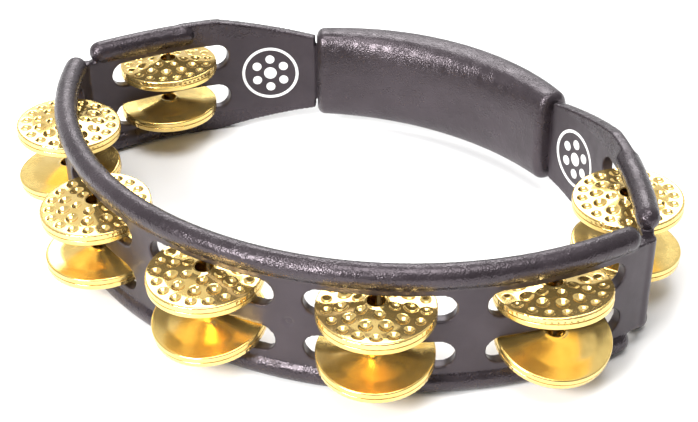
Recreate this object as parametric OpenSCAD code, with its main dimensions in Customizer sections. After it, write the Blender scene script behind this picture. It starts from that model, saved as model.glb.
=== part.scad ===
// Headless hand tambourine.  A closed crescent frame lies flat: a round hoop with five
// jingle stations, a gently curved side wall with one station at each end of it, two
// curved panels and a thick grip.  Every station has an upper and a lower slot, each slot holds
// two cupped jingles rim to rim, and one upright pin runs through all four of them.
// X is to the right, +Y runs from the hoop to the grip, and Z = 0 is the underside.

/* [Hoop] */
// Radius of the front hoop, to the middle of its wall
hoop_r = 144.4; // [135:0.5:155]
// Half of the angle that the hoop covers, from its middle to a corner
hoop_half_angle = 68.3; // [66:0.1:72]
// Angle between neighbouring stations on the hoop
station_step = 26.2; // [24:0.1:28]

/* [Wall and rails] */
// Thickness of the wall
wall_t = 5.0; // [4.6:0.1:5.2]
// Height of the wall where it stands free at the corners
wall_h = 39.6; // [36:0.1:44]
// Diameter of the rounded corner, where the hoop meets the side wall
corner_post_d = 6.0; // [5.6:0.1:6.6]
// Diameter of the round rails along the top and the bottom
rail_d = 9.6; // [9:0.1:10.4]
// Distance between the centre lines of the top and bottom rails
rail_pitch = 46.6; // [45:0.1:48]
// Gap along the wall from a corner to the middle of a hoop rail's round end
hoop_rail_setback = 10.8; // [8:0.1:14]
// Gap along the wall from a corner to the middle of a side rail's round end
side_rail_setback = 8.2; // [6.5:0.1:12]

/* [Sides and panels] */
// Angle between the side wall and the X axis, where it leaves the corner
side_angle = 64.5; // [62:0.1:67]
// Radius of the gently curved side wall, to the middle of its wall
side_r = 223; // [200:1:260]
// Length of the side wall along its curve, from the corner to the full-height panel
side_len = 47; // [46:0.5:49]
// Distance along the side wall from the corner to its station
side_station = 40.4; // [38:0.1:42]
// Radius of the curved panel, to the middle of its wall
panel_r = 130.5; // [126:0.5:136]
// Angle that the curved panel turns through
panel_turn = 27.4; // [26:0.1:28.4]
// Thickness of the panel
panel_t = 4.4; // [4:0.1:5]
// Distance along the panel at which its edges start to taper
panel_taper_start = 16; // [10:0.5:20]
// Height of the panel's end beside the grip
panel_end_h = 36.7; // [34:0.1:42]

/* [Grip] */
// Distance from the hoop's wall to the middle of the grip
grip_apex = 187.4; // [186:0.1:189]
// Gap between each end of the grip and the panel beside it
grip_end_gap = 0.9; // [0.6:0.1:1.5]
// Thickness of the grip, from its inner to its outer face
grip_t = 22; // [20:0.5:24]
// Height of the grip
grip_h = 43.8; // [38:0.2:48]
// Radius of the grip's long edges
grip_edge_r = 9; // [5:0.5:10]
// Width of the stepped edge at each end of the grip
grip_end_step = 1.8; // [1:0.1:3]
// Thickness of the core that runs through the grip
core_t = 3.6; // [3:0.1:3.8]
// Height of the core
core_h = 28; // [22:1:32]

/* [Slots and pins] */
// Length of a jingle slot
slot_len = 55.4; // [50:0.2:56]
// Height of a jingle slot
slot_h = 11.5; // [11.3:0.1:11.9]
// Distance between the middles of the upper and lower slots
slot_pitch = 20.7; // [20.2:0.1:21]
// Diameter of the pin that carries the jingles
pin_d = 2.0; // [1.8:0.1:2.4]
// Plastic left over each end of a pin, inside the rail
pin_cover = 2.0; // [1:0.1:4]

/* [Jingles] */
// Outer diameter of a jingle
jingle_d = 44; // [40:0.5:46]
// Thickness of the jingle's sheet
jingle_t = 0.7; // [0.5:0.1:0.8]
// Diameter of the hole in the middle
jingle_hole_d = 7.0; // [6.8:0.1:7.4]
// Height of the turned-down rim
rim_h = 2.3; // [2:0.1:2.4]
// Height of the raised cone above the flat ring
cone_h = 2.2; // [2:0.1:2.3]
// Foot of the cone as a share of the jingle's radius
cone_share = 0.70; // [0.6:0.01:0.8]

/* [Printed marks] */
// Outer diameter of the round mark on each panel
mark_d = 26.4; // [22:0.2:28]
// Width of its outer ring
mark_ring_w = 1.3; // [1:0.1:2]
// Angle along the left panel, from its side wall to the mark
mark_left_turn = 18; // [16:0.1:20]
// Angle along the right panel, from its side wall to the mark
mark_right_turn = 19.2; // [16:0.1:20]
// Thickness of the print
mark_t = 0.2; // [0.1:0.05:0.4]

/* [Hidden] */
$fn = 96;
far = 60;                                     // longer than any cut needs
rail_relief = 0.1;                            // the panels stand this much proud of the rails
round_end_d = rail_d - 0.1;                   // a rail's round end is a shade thinner than the rail
mid_z = rail_pitch / 2 + rail_d / 2 + rail_relief;    // middle height of the whole frame
full_h = 2 * mid_z;
post_rise = 0.6;                              // the corner post stands a little over the hoop's wall
side_wall_h = wall_h - 0.4;                   // and the side wall a little under it
jingle_r = jingle_d / 2;
gap = 0.15;                                   // play left around a jingle at rest
pair_h = 2 * (rim_h + cone_h) + gap;          // two jingles, cone to cone

// Plan of the right-hand half.  The hoop's middle lies half of the depth in front of
// the origin, so that the origin is under the middle of the whole outline.
function arc_degrees(length, r) = length / r * 180 / PI;
function polar(r, angle) = r * [cos(angle), sin(angle)];
depth_middle = (grip_apex + grip_t / 2 - jingle_r - 0.4) / 2;
front_y = -depth_middle;
hoop_cy = front_y + hoop_r;
corner = [0, hoop_cy] + polar(hoop_r, hoop_half_angle - 90);
side_from = 90 - side_angle;                  // polar angle of the corner about the side's centre
side_centre = corner - polar(side_r, side_from);
panel_from = side_from + arc_degrees(side_len, side_r);
panel_centre = side_centre + polar(side_r - panel_r, panel_from);
panel_tip = panel_centre + polar(panel_r, panel_from + panel_turn);
taper_from = panel_from + arc_degrees(panel_taper_start, panel_r);
taper_turn = panel_from + panel_turn - taper_from;
taper_edge = panel_centre + polar(panel_r, taper_from);
taper_len = 2 * panel_r * sin(taper_turn / 2);
taper = atan((full_h - panel_end_h) / 2 / taper_len);
grip_sag = front_y + grip_apex - panel_tip.y; // the grip's arc runs from one panel to the other
grip_r = (panel_tip.x * panel_tip.x + grip_sag * grip_sag) / 2 / grip_sag;
grip_cy = front_y + grip_apex - grip_r;
tip_half_angle = asin(panel_tip.x / grip_r);
grip_half_angle = tip_half_angle - arc_degrees(grip_end_gap, grip_r);
core_half_angle = tip_half_angle + arc_degrees(1.3, grip_r);  // the core is rooted in the panels

// Stations 1 to 7: five on the hoop from left to right, then the left and right sides.
// Each is [x, y, turn], and at turn 0 the outside of the wall faces -Y.
function hoop_station(i) = let (a = (i - 3) * station_step)
    [hoop_r * sin(a), hoop_cy - hoop_r * cos(a), a];
side_polar = side_from + arc_degrees(side_station, side_r);
side_point = side_centre + polar(side_r, side_polar);
STATIONS = concat(
    [for (i = [1:5]) hoop_station(i)],
    [[-side_point.x, side_point.y, -90 - side_polar], [side_point.x, side_point.y, 90 + side_polar]]
);

// How each loose pair lies: [tilt with the outer edge down, shift outward, shift along]
UPPER_REST = [
    [-3, 0.3, -0.8], [3.5, 1.8, 0.3], [3, 1.6, -1], [2, 1.7, -1.1], [-6, 0, -2], [2, -1.9, 0.8], [-2, -0.7, 0]
];
LOWER_REST = [
    [5.5, 1.6, 0.8], [1.2, 1.9, 0.9], [11, 1, -0.6], [8, 1.1, -1.3], [16, 0.4, -0.8], [1, -1.3, 1.7],
    [4, -0.2, -2]
];
LEVELS = ["lower", "upper"];
function rest(s, level) = level == "upper" ? UPPER_REST[s - 1] : LOWER_REST[s - 1];
function slot_z(level) = mid_z + (level == "upper" ? 0.5 : -0.5) * slot_pitch;
// A tilted pair stands on the edge of the hole in its lower cone.
function pair_z(s, level) = let (a = abs(rest(s, level)[0]))
    slot_z(level) - slot_h / 2 + gap + pair_h / 2 * cos(a) + jingle_hole_d / 2 * sin(a);

PLASTIC = [0.20, 0.19, 0.20];
BRASS = [0.90, 0.70, 0.28];
PRINT = [0.95, 0.95, 0.94];

STATION_NUMBERS = [1:7];
PIN_NODES = [for (s = STATION_NUMBERS) str("pin_", s)];
JINGLE_NODES = [for (s = STATION_NUMBERS) for (level = LEVELS) for (face = ["bottom", "top"])
    str("jingle_", s, "_", level, "_", face)];

// ---- placing ----

module at_station(s) {
    p = STATIONS[s - 1];
    translate([p.x, p.y, 0]) rotate([0, 0, p.z]) children();
}

module both_sides() {
    children();
    mirror([1, 0, 0]) children();
}

module top_and_bottom() {
    translate([0, 0, mid_z]) {
        children();
        mirror([0, 0, 1]) children();
    }
}

// A bar of a given section height along an arc about the origin
module arc_wall(r, t, h, from, turn) {
    rotate([0, 0, from]) rotate_extrude(angle = turn)
        translate([r - t / 2, -h / 2]) square([t, h]);
}

// About the centre of the right side wall's curve
module about_side() {
    translate([side_centre.x, side_centre.y, mid_z]) children();
}

// ---- frame ring ----

module hoop() {
    rail_half = hoop_half_angle - 2 * asin(hoop_rail_setback / hoop_r / 2);
    translate([0, hoop_cy, mid_z])
        arc_wall(hoop_r, wall_t, wall_h, 270 - hoop_half_angle, 2 * hoop_half_angle);
    top_and_bottom() translate([0, hoop_cy, rail_pitch / 2]) {
        rotate([0, 0, 270 - rail_half]) rotate_extrude(angle = 2 * rail_half)
            translate([hoop_r, 0]) circle(d = rail_d);
        for (side = [-1, 1])
            rotate([0, 0, 270 + side * rail_half]) translate([hoop_r, 0, 0]) sphere(d = round_end_d);
    }
}

module side_wall() {
    into_panel = 1.5;
    rail_from = side_from + arc_degrees(side_rail_setback, side_r);
    rail_turn = arc_degrees(side_len + into_panel - side_rail_setback, side_r);
    translate([corner.x, corner.y, mid_z])
        cylinder(d = corner_post_d, h = wall_h + post_rise, center = true);
    about_side() arc_wall(side_r, wall_t, side_wall_h, side_from, arc_degrees(side_len + 1, side_r));
    for (z = [-1, 1]) about_side() translate([0, 0, z * rail_pitch / 2]) {
        rotate([0, 0, rail_from]) rotate_extrude(angle = rail_turn)
            translate([side_r, 0]) circle(d = rail_d);
        for (end = [rail_from, rail_from + rail_turn])
            rotate([0, 0, end]) translate([side_r, 0, 0]) sphere(d = round_end_d);
    }
}

// The curved panel, cut off by a sloping plane above and below
module panel() {
    difference() {
        translate([panel_centre.x, panel_centre.y, mid_z])
            arc_wall(panel_r, panel_t, full_h, panel_from, panel_turn);
        top_and_bottom() translate([taper_edge.x, taper_edge.y, mid_z])
            rotate([0, 0, taper_from + taper_turn / 2 + 90]) rotate([0, taper, 0])
                translate([-1, -far / 2, 0]) cube([taper_len + far, far, far]);
    }
}

module grip_core() {
    translate([0, grip_cy, mid_z])
        arc_wall(grip_r, core_t, core_h, 90 - core_half_angle, 2 * core_half_angle);
}

module station_slots(s) {
    at_station(s) for (level = LEVELS) translate([0, 0, slot_z(level)]) {
        cube([slot_len - slot_h, far / 2, slot_h], center = true);
        for (end = [-1, 1]) translate([end * (slot_len - slot_h) / 2, 0, 0])
            rotate([90, 0, 0]) cylinder(d = slot_h, h = far / 2, center = true);
    }
}

// Shallow moulding marks: a gate between two stations and an ejector on the right panel
module moulding_marks() {
    gate_turn = station_step / 2;
    translate([0, hoop_cy, mid_z]) rotate([0, 0, gate_turn]) translate([0, -hoop_r - wall_t / 2, 0])
        rotate([90, 0, 0]) difference() {
            cylinder(d = 4.2, h = 1, center = true);
            cylinder(d = 1.4, h = 2, center = true);
        }
    ejector_polar = panel_from + panel_turn - arc_degrees(11.4, panel_r);
    translate([panel_centre.x, panel_centre.y, mid_z + 9.5]) rotate([0, 0, ejector_polar])
        translate([panel_r - panel_t / 2, 0, 0]) rotate([0, 90, 0]) difference() {
            cylinder(d = 8, h = 0.6, center = true);
            cylinder(d = 7, h = 2, center = true);
        }
}

// A pin's bore or the pin itself, closed in by the rail at each end
module pin_shaft() {
    translate([0, 0, pin_cover]) cylinder(d = pin_d, h = full_h - 2 * pin_cover);
}

module frame_ring() {
    color(PLASTIC) difference() {
        union() {
            hoop();
            both_sides() {
                side_wall();
                panel();
            }
            grip_core();
        }
        for (s = STATION_NUMBERS) {
            station_slots(s);
            at_station(s) pin_shaft();
        }
        moulding_marks();
    }
}

// ---- grip ----

module rounded_section(t, h, r) {
    translate([-t / 2, r - h / 2]) square([t, h - 2 * r]);
    translate([r - t / 2, -h / 2]) square([t - 2 * r, h]);
    for (x = [-1, 1]) for (y = [-1, 1]) translate([x * (t / 2 - r), y * (h / 2 - r)]) circle(r = r);
}

module grip_sweep(inset, half) {
    rotate([0, 0, 90 - half]) rotate_extrude(angle = 2 * half) translate([grip_r, 0])
        rounded_section(grip_t - 2 * inset, grip_h - 2 * inset, grip_edge_r - inset);
}

// Moulded round the frame's core, with a stepped edge at each end
module grip() {
    step_turn = arc_degrees(grip_end_step, grip_r);
    color(PLASTIC) translate([0, grip_cy, mid_z]) difference() {
        union() {
            grip_sweep(0, grip_half_angle - step_turn);
            grip_sweep(grip_end_step * 0.6, grip_half_angle);
        }
        arc_wall(grip_r, core_t, core_h, 90 - grip_half_angle - 2, 2 * grip_half_angle + 4);
    }
}

// ---- printed marks: a ring round a wheel of six dots ----

module panel_mark(turn) {
    dot_wheel_r = mark_d * 0.27;
    dot_d = mark_d * 0.16;
    color(PRINT) intersection() {
        translate([panel_centre.x, panel_centre.y, mid_z])
            arc_wall(panel_r - panel_t / 2 - mark_t / 2, mark_t, full_h, panel_from, panel_turn);
        translate([panel_centre.x, panel_centre.y, mid_z]) rotate([0, 0, panel_from + turn])
            translate([panel_r, 0, 0]) rotate([0, -90, 0]) {
                difference() {
                    cylinder(d = mark_d, h = 10);
                    translate([0, 0, -1]) cylinder(d = mark_d - 2 * mark_ring_w, h = 12);
                }
                cylinder(d = dot_d * 1.4, h = 10);
                for (i = [0:5]) rotate([0, 0, i * 60]) translate([dot_wheel_r, 0, 0])
                    cylinder(d = dot_d, h = 10);
            }
    }
}

module mark_right() panel_mark(mark_right_turn);

module mark_left() mirror([1, 0, 0]) panel_mark(mark_left_turn);

// ---- pins and jingles ----

module pin(s) {
    color(BRASS) at_station(s) pin_shaft();
}

// One cupped disc with its rim at Z = 0 and its cone pointing up
module jingle() {
    foot_r = jingle_r * cone_share;
    hole_r = jingle_hole_d / 2;
    rotate_extrude() polygon([
        [jingle_r, 0], [jingle_r, rim_h], [foot_r, rim_h], [hole_r, rim_h + cone_h],
        [hole_r, rim_h + cone_h - jingle_t], [foot_r, rim_h - jingle_t],
        [jingle_r - jingle_t, rim_h - jingle_t], [jingle_r - jingle_t, 0]
    ]);
}

module placed_jingle(s, level, face) {
    lie = rest(s, level);
    color(BRASS) at_station(s) translate([lie[2], -lie[1], pair_z(s, level)]) rotate([lie[0], 0, 0])
        mirror([0, 0, face == "top" ? 0 : 1]) translate([0, 0, gap / 2]) jingle();
}

frame_ring();
grip();
mark_left();
mark_right();
for (s = STATION_NUMBERS)
    pin(s);
for (s = STATION_NUMBERS) for (level = LEVELS) for (face = ["bottom", "top"])
    placed_jingle(s, level, face);
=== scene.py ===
"""Headless hand tambourine: the looks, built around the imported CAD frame.

The moulded ring, the pins and the printed marks are the CAD nodes with finished materials.
The grip and the twenty-eight jingles are detailed meshes that stand in for their CAD nodes.
"""

import math

import bmesh
import bpy
import numpy as np
from mathutils import Matrix, Quaternion, Vector


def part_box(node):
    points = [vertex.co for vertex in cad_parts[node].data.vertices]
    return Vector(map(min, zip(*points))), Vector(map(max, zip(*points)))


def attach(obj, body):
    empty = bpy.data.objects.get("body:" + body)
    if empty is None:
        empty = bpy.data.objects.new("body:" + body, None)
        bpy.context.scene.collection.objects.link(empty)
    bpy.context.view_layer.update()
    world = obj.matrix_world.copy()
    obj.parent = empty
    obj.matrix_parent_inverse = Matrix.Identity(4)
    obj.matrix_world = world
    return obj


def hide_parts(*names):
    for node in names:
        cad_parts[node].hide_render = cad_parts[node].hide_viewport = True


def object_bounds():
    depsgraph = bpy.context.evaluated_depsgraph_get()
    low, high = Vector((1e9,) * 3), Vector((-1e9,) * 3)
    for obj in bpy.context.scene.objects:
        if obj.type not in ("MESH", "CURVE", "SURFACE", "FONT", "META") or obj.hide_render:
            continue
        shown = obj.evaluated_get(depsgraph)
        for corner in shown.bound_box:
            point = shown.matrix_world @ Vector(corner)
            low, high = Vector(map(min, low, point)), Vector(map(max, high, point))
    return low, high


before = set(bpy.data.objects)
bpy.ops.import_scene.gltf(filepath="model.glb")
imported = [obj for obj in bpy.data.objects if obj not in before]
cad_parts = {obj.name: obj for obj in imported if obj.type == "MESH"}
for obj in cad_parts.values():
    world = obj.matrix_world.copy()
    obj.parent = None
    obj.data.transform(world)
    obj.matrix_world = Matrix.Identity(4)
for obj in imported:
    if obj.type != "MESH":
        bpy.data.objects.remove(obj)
cad_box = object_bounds()

MM = 0.001
STATIONS = range(1, 8)
LEVELS = ("lower", "upper")
FACES = ("bottom", "top")


def middle_of(node):
    low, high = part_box(node)
    return (low + high) / 2


MID_Z = middle_of("frame_ring").z

# ---- camera -------------------------------------------------------------------------

CAMERA_AZIMUTH = math.radians(31.36)
CAMERA_ELEVATION = math.radians(33.34)
CAMERA_ROLL = math.radians(-0.22)
CAMERA_DISTANCE = 0.5940
CAMERA_LENS = 75.85
AIM_FROM_FRONT_PIN = Vector((0.01448, 0.07499, 0.0))

# from the tambourine towards the camera, along the floor and up
TOWARDS_CAMERA = Vector((
    math.sin(CAMERA_AZIMUTH) * math.cos(CAMERA_ELEVATION),
    -math.cos(CAMERA_AZIMUTH) * math.cos(CAMERA_ELEVATION),
    math.sin(CAMERA_ELEVATION),
))


def make_camera():
    """Looks down on the tambourine from the front right."""
    aim = middle_of("pin_3") + AIM_FROM_FRONT_PIN
    data = bpy.data.cameras.new("camera")
    data.sensor_width = 36.0
    data.lens = CAMERA_LENS
    data.clip_start = 0.01
    camera = bpy.data.objects.new("camera", data)
    bpy.context.scene.collection.objects.link(camera)
    camera.location = aim + TOWARDS_CAMERA * CAMERA_DISTANCE
    camera.rotation_mode = "QUATERNION"
    roll = Quaternion((0, 0, 1), CAMERA_ROLL)
    camera.rotation_quaternion = (-TOWARDS_CAMERA).to_track_quat("-Z", "Y") @ roll
    bpy.context.scene.camera = camera


# ---- materials ----------------------------------------------------------------------


class Nodes:
    """Builds one node material, a line for each node."""

    def __init__(self, name):
        self.material = bpy.data.materials.new(name)
        self.material.use_nodes = True
        self.tree = self.material.node_tree
        self.shader = self.tree.nodes["Principled BSDF"]
        self.place = self.add("ShaderNodeTexCoord").outputs["Object"]

    def add(self, kind, **settings):
        node = self.tree.nodes.new(kind)
        for key, value in settings.items():
            setattr(node, key, value)
        return node

    def put(self, value, socket):
        """Sets a socket to a number, or links it to another node's output."""
        if isinstance(value, bpy.types.NodeSocket):
            self.tree.links.new(value, socket)
        else:
            socket.default_value = value

    def math(self, operation, a, b=0.0):
        node = self.add("ShaderNodeMath", operation=operation)
        self.put(a, node.inputs[0])
        self.put(b, node.inputs[1])
        return node.outputs[0]

    def noise(self, scale, detail=2.0, roughness=0.5, vector=None):
        node = self.add("ShaderNodeTexNoise")
        self.put(vector or self.place, node.inputs["Vector"])
        node.inputs["Scale"].default_value = scale
        node.inputs["Detail"].default_value = detail
        node.inputs["Roughness"].default_value = roughness
        return node.outputs["Fac"]

    def pebbles(self, scale, smoothness):
        """Distance to the nearest pebble's middle."""
        node = self.add("ShaderNodeTexVoronoi", feature="SMOOTH_F1")
        self.put(self.place, node.inputs["Vector"])
        node.inputs["Scale"].default_value = scale
        node.inputs["Smoothness"].default_value = smoothness
        return node.outputs["Distance"]

    def stretch(self, value, low, high, to_low=0.0, to_high=1.0):
        node = self.add("ShaderNodeMapRange", interpolation_type="SMOOTHSTEP")
        self.put(value, node.inputs["Value"])
        node.inputs["From Min"].default_value = low
        node.inputs["From Max"].default_value = high
        node.inputs["To Min"].default_value = to_low
        node.inputs["To Max"].default_value = to_high
        return node.outputs["Result"]

    def mix_colour(self, factor, first, second):
        node = self.add("ShaderNodeMix", data_type="RGBA")
        self.put(factor, node.inputs[0])
        self.put(first, node.inputs[6])
        self.put(second, node.inputs[7])
        return node.outputs[2]

    def bump(self, height, distance, strength=1.0, normal=None):
        node = self.add("ShaderNodeBump")
        node.inputs["Distance"].default_value = distance
        self.put(strength, node.inputs["Strength"])
        self.put(height, node.inputs["Height"])
        if normal is not None:
            self.put(normal, node.inputs["Normal"])
        return node.outputs["Normal"]

    def split(self):
        node = self.add("ShaderNodeSeparateXYZ")
        self.put(self.place, node.inputs[0])
        return node.outputs

    def finish(self, colour, roughness, normal=None, metallic=0.0, specular=0.5, sheen=None):
        self.put(colour, self.shader.inputs["Base Color"])
        self.put(roughness, self.shader.inputs["Roughness"])
        if normal is not None:
            self.put(normal, self.shader.inputs["Normal"])
        self.shader.inputs["Metallic"].default_value = metallic
        self.shader.inputs["Specular IOR Level"].default_value = specular
        if sheen is not None:
            self.shader.inputs["Specular Tint"].default_value = sheen
        return self.material


PLASTIC_DARK = (0.0125, 0.0096, 0.0114, 1)
PLASTIC_LIGHT = (0.0260, 0.0205, 0.0240, 1)
PLASTIC_SHEEN = (1.0, 0.86, 0.94, 1)
DIMPLED_BRASS = (0.96, 0.70, 0.26, 1)
TURNED_BRASS = (0.96, 0.71, 0.25, 1)
PIN_BRASS = (0.92, 0.68, 0.30, 1)
# heights above and below the ring's middle where its walls give way to its rails
WALL_END = 0.0178
RAIL_START = 0.0192


def leather(n, strength):
    """The moulded leather grain: pebbles about two thirds of a millimetre across, unevenly deep."""
    pebble = n.pebbles(1500.0, 0.25)
    uneven = n.stretch(n.noise(220.0, detail=2.0), 0.35, 0.65, 0.35, 1.0)
    return n.bump(n.math("MULTIPLY", pebble, uneven), 0.00018, strength)


def plastic_colour(n):
    cloud = n.noise(42.0, detail=5.0, roughness=0.6)
    return n.mix_colour(n.stretch(cloud, 0.3, 0.7), PLASTIC_DARK, PLASTIC_LIGHT)


def ring_plastic():
    """Black moulded plastic: leather grain on the rails, a finer satin on the walls."""
    n = Nodes("moulded_black")
    height = n.math("ABSOLUTE", n.math("SUBTRACT", n.split()[2], MID_Z))
    rail = n.stretch(height, WALL_END, RAIL_START)
    normal = leather(n, n.stretch(rail, 0, 1, 0.10, 0.9))
    normal = n.bump(n.noise(2600.0), 0.00005, 0.35, normal)
    wear = n.stretch(n.noise(210.0, detail=4.0), 0.3, 0.75, -0.05, 0.06)
    rough = n.math("ADD", n.stretch(rail, 0, 1, 0.38, 0.27), wear)
    return n.finish(plastic_colour(n), rough, normal, specular=0.6, sheen=PLASTIC_SHEEN)


def grip_plastic():
    """The grip's plastic, with the leather grain all over."""
    n = Nodes("pebbled_grip")
    rough = n.stretch(n.noise(180.0, detail=4.0), 0.3, 0.75, 0.27, 0.37)
    return n.finish(plastic_colour(n), rough, leather(n, 1.0), specular=0.7, sheen=PLASTIC_SHEEN)


def brass(name, tone, turned, smear_from, smear_to):
    """Bright brass.  The turned discs have stronger fine lines round their middle."""
    n = Nodes(name)
    x, y, _ = n.split()
    radius = n.math("SQRT", n.math("ADD", n.math("MULTIPLY", x, x), n.math("MULTIPLY", y, y)))
    line = n.add("ShaderNodeCombineXYZ")
    n.put(radius, line.inputs[0])
    normal = n.bump(n.noise(2600.0, detail=3.0, vector=line.outputs[0]), 0.00002, turned)
    normal = n.bump(n.noise(420.0, detail=3.0), 0.00002, 0.25, normal)
    deep = (tone[0] * 0.88, tone[1] * 0.84, tone[2] * 0.74, 1)
    cloud = n.noise(110.0, detail=4.0, roughness=0.55)
    colour = n.mix_colour(n.stretch(cloud, 0.3, 0.72), tone, deep)
    smear = n.noise(260.0, detail=5.0, roughness=0.65)
    rough = n.stretch(smear, 0.3, 0.75, smear_from, smear_to)
    return n.finish(colour, rough, normal, metallic=0.92)


def white_print():
    """Pad print, with a slightly uneven ink film."""
    n = Nodes("white_ink")
    cloud = n.noise(900.0, detail=4.0)
    colour = n.mix_colour(n.stretch(cloud, 0.35, 0.7), (0.88, 0.88, 0.87, 1), (0.76, 0.75, 0.75, 1))
    rough = n.stretch(cloud, 0.3, 0.7, 0.42, 0.55)
    return n.finish(colour, rough, n.bump(n.noise(2200.0), 0.00003, 0.4))


def floor_paint():
    n = Nodes("pale_floor")
    cloud = n.noise(1.5, detail=3.0)
    colour = n.mix_colour(n.stretch(cloud, 0.3, 0.7), (0.90, 0.90, 0.90, 1), (0.885, 0.885, 0.89, 1))
    return n.finish(colour, 0.75, specular=0.2)


# ---- mesh helpers -------------------------------------------------------------------


def mesh_object(name, data):
    piece = bpy.data.objects.new(name, data)
    bpy.context.scene.collection.objects.link(piece)
    return piece


def ring_mesh(name, rings, capped):
    """A smooth mesh through rings of points, closed on itself or capped at both ends."""
    segments = len(rings[0])
    count = len(rings)
    faces = []
    for i in range(count - 1 if capped else count):
        a = i * segments
        b = (i + 1) % count * segments
        for k in range(segments):
            m = (k + 1) % segments
            faces.append((a + k, a + m, b + m, b + k))
    if capped:
        faces.append(tuple(reversed(range(segments))))
        faces.append(tuple(range((count - 1) * segments, count * segments)))
    data = bpy.data.meshes.new(name)
    data.from_pydata((np.concatenate(rings) * MM).tolist(), [], faces)
    work = bmesh.new()
    work.from_mesh(data)
    bmesh.ops.recalc_face_normals(work, faces=work.faces)
    work.to_mesh(data)
    work.free()
    data.polygons.foreach_set("use_smooth", [True] * len(data.polygons))
    return data


def set_material(piece, material):
    piece.data.materials.clear()
    piece.data.materials.append(material)


# ---- jingles, in millimetres --------------------------------------------------------

JINGLE_R = 22.0
HOLE_R = 3.4
RIM_H = 2.3
CONE_H = 2.2
CONE_FOOT = 0.70 * JINGLE_R
SHEET = 0.55
RIM_CORNER = 0.7
LIP_W = 0.55
LIP_H = 0.45
FLUTES = 60                       # shallow upright flutes round a dimpled disc's rim
FLUTE_DEPTH = 0.12
LIP_FROM_HOLE = 0.45              # from the hole's edge to the top of the lip round it
EDGE_ROLL = 0.12                  # how far the sheet's cut edges are rounded in
GOLDEN_ANGLE = 2.399963           # radians by which each disc is turned on from the last
# segments round the disc, rings across its face, rings across its inside
DIMPLED_RINGS = (288, 60, 24)
TURNED_RINGS = (160, 34, 12)
# dimple rings: how many, distance from the middle, radius, depth, first angle
DIMPLES = (
    (18, 0.820 * JINGLE_R, 2.05, 0.95, 0.0),
    (11, 0.565 * JINGLE_R, 2.65, 1.35, 14.0),
    (6, 0.320 * JINGLE_R, 2.15, 1.05, 30.0),
)


def top_height(r):
    """Height of the disc's upper face above the rim's edge, without its dimples."""
    slope = (CONE_FOOT - r) / (CONE_FOOT - HOLE_R)
    blend = 0.06
    cone = min(CONE_H * 0.5 * (slope + math.sqrt(slope * slope + blend * blend)), CONE_H * 1.01)
    lip = LIP_H * math.exp(-(((r - HOLE_R - LIP_FROM_HOLE) / LIP_W) ** 2))
    return RIM_H + cone + lip - 0.6 * LIP_H * max(0.0, slope)


def dimple_depth(x, y):
    """How far the dimples push the face in at each point."""
    depth = np.zeros_like(x)
    for count, distance, radius, deep, first in DIMPLES:
        for i in range(count):
            a = math.radians(first) + 2 * math.pi * i / count
            apart = (x - distance * math.cos(a)) ** 2 + (y - distance * math.sin(a)) ** 2
            depth = np.maximum(depth, deep * np.clip(1.0 - apart / radius**2, 0, None))
    return depth


def jingle_mesh(name, dimpled, segments, face_rings, inner_rings):
    """One cupped disc, rim edge at Z = 0 and cone pointing up, its sheet turned down at the rim."""
    angle = np.linspace(0, 2 * math.pi, segments, endpoint=False)
    flute = FLUTE_DEPTH * (0.5 - 0.5 * np.cos(FLUTES * angle)) if dimpled else 0.0
    rings = []

    def ring(r, z, pressed=False, fluted=0.0):
        reach = r - fluted * flute
        x, y = reach * np.cos(angle), reach * np.sin(angle)
        height = np.full(segments, float(z))
        if pressed and dimpled:
            height = height - dimple_depth(x, y)
        rings.append(np.stack([x, y, height], 1))

    flat_end = JINGLE_R - RIM_CORNER
    top = top_height(flat_end)
    for r in np.linspace(HOLE_R + EDGE_ROLL, flat_end, face_rings):
        ring(r, top_height(r), pressed=True)
    for a in np.radians([18, 36, 54, 72, 90]):
        drop = RIM_CORNER * (1 - math.cos(a))
        ring(flat_end + RIM_CORNER * math.sin(a), top - drop, fluted=math.sin(a))
    ring(JINGLE_R, 0.60, fluted=1.0)
    ring(JINGLE_R, 0.45)
    ring(JINGLE_R, 0.22)
    ring(JINGLE_R - EDGE_ROLL, 0.04)
    ring(JINGLE_R - SHEET + EDGE_ROLL, 0.04)
    ring(JINGLE_R - SHEET, 0.22)
    ring(JINGLE_R - SHEET, top - RIM_CORNER)
    for r in np.linspace(flat_end - 0.1, HOLE_R + 0.5, inner_rings):
        ring(r, top_height(r) - SHEET, pressed=True)
    ring(HOLE_R + EDGE_ROLL, top_height(HOLE_R + EDGE_ROLL) - SHEET + 0.1)
    ring(HOLE_R, top_height(HOLE_R) - 0.5 * SHEET)
    return ring_mesh(name, rings, capped=False)


def disc_place(node):
    """Where a CAD jingle lies: its rim's middle, and the direction in which its cone points."""
    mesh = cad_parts[node].data
    points = np.zeros(len(mesh.vertices) * 3)
    mesh.vertices.foreach_get("co", points)
    points = np.unique(np.round(points.reshape(-1, 3), 7), axis=0)
    middle = (points.max(0) + points.min(0)) / 2
    for _ in range(8):
        centred = points - middle
        normal = np.linalg.svd(centred, full_matrices=False)[2][2]
        along = centred @ normal
        flat = centred - np.outer(along, normal)
        across = np.linalg.norm(flat, axis=1)
        rim = across > 0.97 * across.max()
        middle = middle + flat[rim].mean(0)
    near_hole = across < 0.3 * across.max()
    if along[near_hole].mean() < along[rim].mean():
        normal = -normal
        along = -along
    return Vector(middle + normal * along[rim].min()), Vector(normal)


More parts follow.
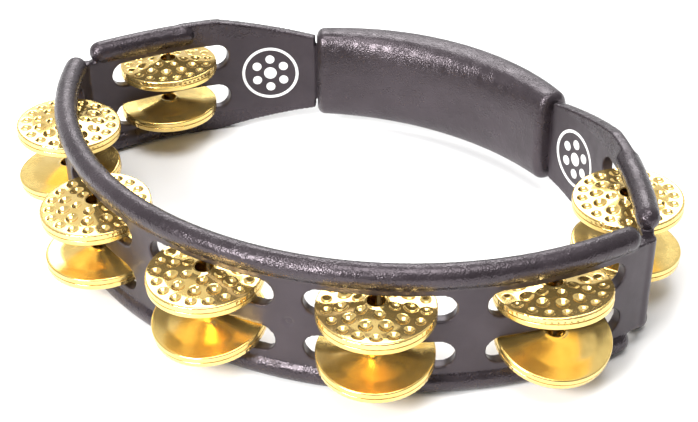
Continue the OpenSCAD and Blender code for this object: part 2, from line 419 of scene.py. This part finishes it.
def place_jingles():
    """Two discs to a slot, rim to rim: dimpled on top in the upper slots, underneath in the lower ones."""
    dimpled = jingle_mesh("dimpled_disc", True, *DIMPLED_RINGS)
    smooth = jingle_mesh("turned_disc", False, *TURNED_RINGS)
    dimpled.materials.append(brass("dimpled_brass_finish", DIMPLED_BRASS, 0.08, 0.10, 0.16))
    smooth.materials.append(brass("turned_brass_finish", TURNED_BRASS, 0.75, 0.16, 0.25))
    turn = 0.0
    for s in STATIONS:
        for level in LEVELS:
            for face in FACES:
                node = f"jingle_{s}_{level}_{face}"
                pressed = (level == "upper") == (face == "top")
                piece = mesh_object(node + "_disc", dimpled if pressed else smooth)
                base, normal = disc_place(node)
                turn += GOLDEN_ANGLE
                spin = Quaternion((0, 0, 1), turn)
                lean = Vector((0, 0, 1)).rotation_difference(normal)
                piece.matrix_world = Matrix.Translation(base) @ (lean @ spin).to_matrix().to_4x4()
                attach(piece, node)
                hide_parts(node)


# ---- grip, in millimetres -----------------------------------------------------------

GRIP_R = 115.15
GRIP_HALF_ANGLE = math.radians(31.78)
GRIP_T = 22.0
GRIP_END_T = 16.0                 # the grip is a barrel: thinner and a little lower at its ends
GRIP_H = 43.8
GRIP_END_H = 42.4
GRIP_SOFTNESS = 0.62              # 1 is an ellipse, 0 a rectangle
GRIP_FILLET = 3.4
SECTION_POINTS = 72
END_STEP = 9                      # degrees between sections round each rounded end
HALF_SECTIONS = 32                # sections from one rounded end to the grip's middle


def crowned_section(t, h):
    """Points round a soft upright oval with nearly flat sides."""
    points = []
    for a in np.linspace(0, 2 * math.pi, SECTION_POINTS, endpoint=False):
        x = math.copysign(abs(math.cos(a)) ** GRIP_SOFTNESS, math.cos(a))
        y = math.copysign(abs(math.sin(a)) ** GRIP_SOFTNESS, math.sin(a))
        points.append((t / 2 * x, h / 2 * y))
    return np.array(points)


def grip_mesh():
    """The grip swept along its arc: a barrel whose ends are rounded over."""
    low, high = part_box("grip")
    centre_y = high.y / MM - GRIP_R - GRIP_T / 2
    middle_z = (low.z + high.z) / 2 / MM
    length = GRIP_R * GRIP_HALF_ANGLE
    stops = []
    for a in np.radians(np.arange(0, 90, END_STEP)):
        stops.append((-length + GRIP_FILLET * (1 - math.cos(a)), GRIP_FILLET * (1 - math.sin(a))))
    stops += [(s, 0.0) for s in np.linspace(-length + GRIP_FILLET, 0, HALF_SECTIONS)]
    stops += [(-s, inset) for s, inset in reversed(stops[:-1])]
    rings = []
    for s, inset in stops:
        swell = 1 - (s / length) ** 2
        t = GRIP_END_T + (GRIP_T - GRIP_END_T) * swell
        h = GRIP_END_H + (GRIP_H - GRIP_END_H) * swell
        section = crowned_section(t - 2 * inset, h - 2 * inset)
        r = GRIP_R + section[:, 0]
        a = s / GRIP_R
        rings.append(np.stack([r * math.sin(a), centre_y + r * math.cos(a), middle_z + section[:, 1]], 1))
    return ring_mesh("grip_body", rings, capped=True)


def place_grip():
    piece = mesh_object("grip_body", grip_mesh())
    set_material(piece, grip_plastic())
    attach(piece, "frame")
    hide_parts("grip")


# ---- the CAD nodes that stay --------------------------------------------------------

SKIN_VOXEL = 0.5 * MM
WELD_DISTANCE = 0.000002


def finish_ring():
    """The CAD ring with its edges and inner corners softened, as moulding leaves them."""
    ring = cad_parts["frame_ring"]
    weld = ring.modifiers.new("weld", "WELD")
    weld.merge_threshold = WELD_DISTANCE
    skin = ring.modifiers.new("skin", "REMESH")
    skin.mode = "VOXEL"
    skin.voxel_size = SKIN_VOXEL
    skin.use_smooth_shade = True
    soft = ring.modifiers.new("soft", "SMOOTH")
    soft.factor = 0.5
    soft.iterations = 8
    set_material(ring, ring_plastic())


def finish_small_nodes():
    ink = white_print()
    for side in ("left", "right"):
        set_material(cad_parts["mark_" + side], ink)
    pin_brass = brass("pin_brass", PIN_BRASS, 0.10, 0.10, 0.18)
    for s in STATIONS:
        set_material(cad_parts[f"pin_{s}"], pin_brass)


# ---- stage --------------------------------------------------------------------------

# name, place, width and depth, power
LIGHTS = (
    ("overhead", (0.15, -0.25, 1.3), (0.8, 0.7), 13),
    ("back", (-0.75, 1.2, 1.15), (1.1, 0.5), 13),
    ("front", (-0.20, -1.3, 0.85), (0.6, 0.5), 38),
)
LIGHTS_AIM = Vector((0, 0, 0.03))
BRIGHT_SIDE = (-0.48, 0.80, 0.36)  # towards the bright side of the room
ROOM_DIM = 0.04
ROOM_BRIGHT = 0.85
FLOOR_HALF = 4.0
FLOOR_GAP = 0.0002


def soft_box(name, place, size, power):
    data = bpy.data.lights.new(name, "AREA")
    data.shape = "RECTANGLE"
    data.size, data.size_y = size
    data.energy = power
    light = bpy.data.objects.new(name, data)
    bpy.context.scene.collection.objects.link(light)
    light.location = place
    light.rotation_mode = "QUATERNION"
    light.rotation_quaternion = (LIGHTS_AIM - Vector(place)).to_track_quat("-Z", "Y")


def make_studio():
    """A white room that is bright behind the tambourine and dim on the viewer's side."""
    world = bpy.data.worlds.new("studio")
    bpy.context.scene.world = world
    world.use_nodes = True
    nodes = world.node_tree.nodes
    links = world.node_tree.links
    direction = nodes.new("ShaderNodeTexCoord")
    facing = nodes.new("ShaderNodeVectorMath")
    facing.operation = "DOT_PRODUCT"
    facing.inputs[1].default_value = BRIGHT_SIDE
    level = nodes.new("ShaderNodeMapRange")
    level.inputs["From Min"].default_value = -0.7
    level.inputs["From Max"].default_value = 0.75
    level.inputs["To Min"].default_value = ROOM_DIM
    level.inputs["To Max"].default_value = ROOM_BRIGHT
    links.new(direction.outputs["Generated"], facing.inputs[0])
    links.new(facing.outputs["Value"], level.inputs["Value"])
    nodes["Background"].inputs["Color"].default_value = (1, 1, 1, 1)
    links.new(level.outputs["Result"], nodes["Background"].inputs["Strength"])


def make_stage():
    half = FLOOR_HALF
    corners = [(-half, -half, 0), (half, -half, 0), (half, half, 0), (-half, half, 0)]
    data = bpy.data.meshes.new("floor")
    data.from_pydata(corners, [], [(0, 1, 2, 3)])
    floor = mesh_object("floor", data)
    set_material(floor, floor_paint())
    floor.location.z = cad_box[0].z - FLOOR_GAP

    for name, place, size, power in LIGHTS:
        soft_box(name, place, size, power)
    make_studio()
    view = bpy.context.scene.view_settings
    view.view_transform = "Standard"
    view.look = "None"


make_camera()
finish_ring()
finish_small_nodes()
place_grip()
place_jingles()
make_stage()
